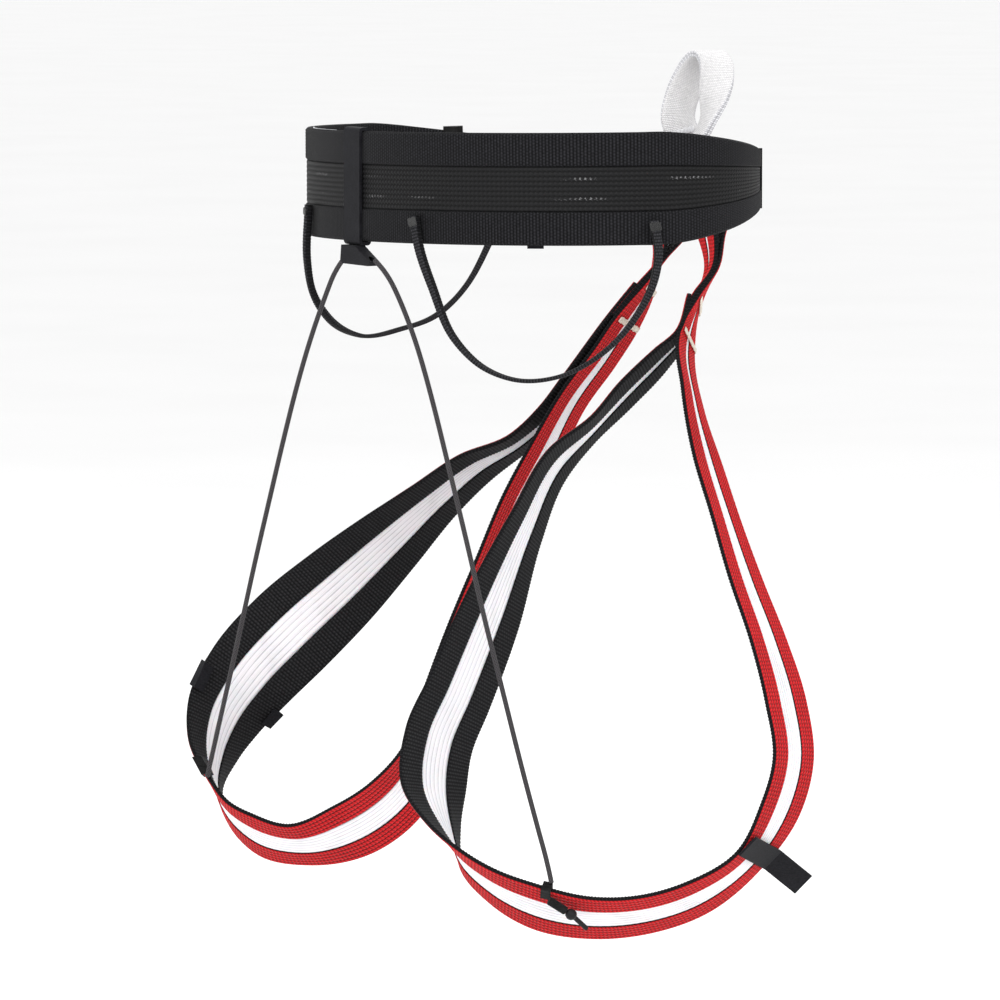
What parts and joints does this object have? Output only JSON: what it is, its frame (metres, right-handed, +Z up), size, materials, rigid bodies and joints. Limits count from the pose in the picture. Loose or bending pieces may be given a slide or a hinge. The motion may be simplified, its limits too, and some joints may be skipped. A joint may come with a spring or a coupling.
{
  "type": "climbing harness",
  "caption": "Lightweight alpine climbing harness: split-webbing waistbelt and leg loops, belay loop, gear loops and elastic risers.",
  "frame": {"origin": "centre of the waist opening, half way up the waistbelt", "axes": "+Z up along the wearer's body, -Y the way the wearer faces, +X towards the wearer's left hip"},
  "size_m": [0.3083, 0.2333, 0.4258],
  "materials": {
    "black_webbing": "woven, ribbed across, slight sheen",
    "black_mesh": "thin open knit with bright flecks",
    "black_tape": "woven tape",
    "black_satin": "satin weave",
    "label_cloth": "printed label cloth, blank",
    "grey_alloy": "anodised, satin",
    "black_elastic": "knitted elastic",
    "white_webbing": "tight weave with a herringbone",
    "white_thread": "dense zigzag stitches",
    "cream_thread": "dense zigzag stitches",
    "black_thread": "dense zigzag stitches",
    "charcoal_tape": "stiff ribbed tape",
    "red_webbing": "red ribs with fine black lines outside, black inside",
    "white_mesh": "thin sheer weave with lengthwise lines",
    "elastic_cord": "braided sheath over an elastic core"
  },
  "bodies": {
    "waistbelt": {"waistbelt_upper_band": "black_webbing", "waistbelt_lower_band": "black_webbing", "waistbelt_mesh_panel": "black_mesh", "belt_end_cover_left": "black_tape", "belt_end_cover_right": "black_tape", "care_label": "label_cloth", "size_tab": "black_satin", "tie_in_bar": "black_tape", "tie_in_lug_left": "black_tape", "tie_in_lug_right": "black_tape", "waist_strap": "black_tape", "waist_buckle": "grey_alloy", "buckle_anchor": "black_tape", "strap_keeper": "black_elastic", "riser_strap": "black_satin", "riser_pocket": "black_satin"},
    "belay_loop": {"belay_loop": "white_webbing", "belay_loop_bar_tacks": "white_thread"},
    "gear_loop_right": {"gear_loop_right": "charcoal_tape", "gear_loop_tacks_right": "black_thread"},
    "gear_loop_left": {"gear_loop_left": "charcoal_tape", "gear_loop_tacks_left": "black_thread"},
    "leg_right": {"leg_right_outer_band": "red_webbing", "leg_right_inner_band": "red_webbing", "leg_right_mesh": "white_mesh", "leg_right_bar_tacks": "cream_thread", "leg_right_tag": "black_satin", "riser_tab_right": "black_elastic", "riser_sleeve_right": "black_elastic", "riser_knot_right": "elastic_cord", "riser_cord_right": "elastic_cord"},
    "leg_left": {"leg_left_outer_band": "red_webbing", "leg_left_inner_band": "red_webbing", "leg_left_mesh": "white_mesh", "leg_left_bar_tacks": "cream_thread", "leg_left_label": "black_satin", "riser_tab_left": "black_elastic", "riser_cord_left": "elastic_cord"}
  },
  "joints": [
    {"name": "belay_loop_swing", "type": "hinge", "parent": "waistbelt", "child": "belay_loop", "pos_m": [0, -0.094, -0.01], "axis": [1, 0, 0], "range_deg": [-3, 100]},
    {"name": "leg_right_swing", "type": "hinge", "parent": "waistbelt", "child": "leg_right", "pos_m": [0, -0.094, -0.01], "axis": [1, 0, 0], "range_deg": [-25, 15], "stiffness_Nm_per_rad": 0.5, "springref_deg": 1.7, "deforming": ["riser_cord_right"]},
    {"name": "leg_left_swing", "type": "hinge", "parent": "waistbelt", "child": "leg_left", "pos_m": [0, -0.094, -0.01], "axis": [1, 0, 0], "range_deg": [-25, 15], "stiffness_Nm_per_rad": 0.5, "springref_deg": 2.27, "deforming": ["riser_cord_left"]},
    {"name": "gear_loop_right_swing", "type": "hinge", "parent": "waistbelt", "child": "gear_loop_right", "pos_m": [-0.09925, 0.05516, -0.012], "axis": [0.7726, 0.6349, 0], "range_deg": [0, 55]},
    {"name": "gear_loop_left_swing", "type": "hinge", "parent": "waistbelt", "child": "gear_loop_left", "pos_m": [0.09049, 0.01857, -0.012], "axis": [0.4104, -0.9119, 0], "range_deg": [0, 40]}
  ]
}
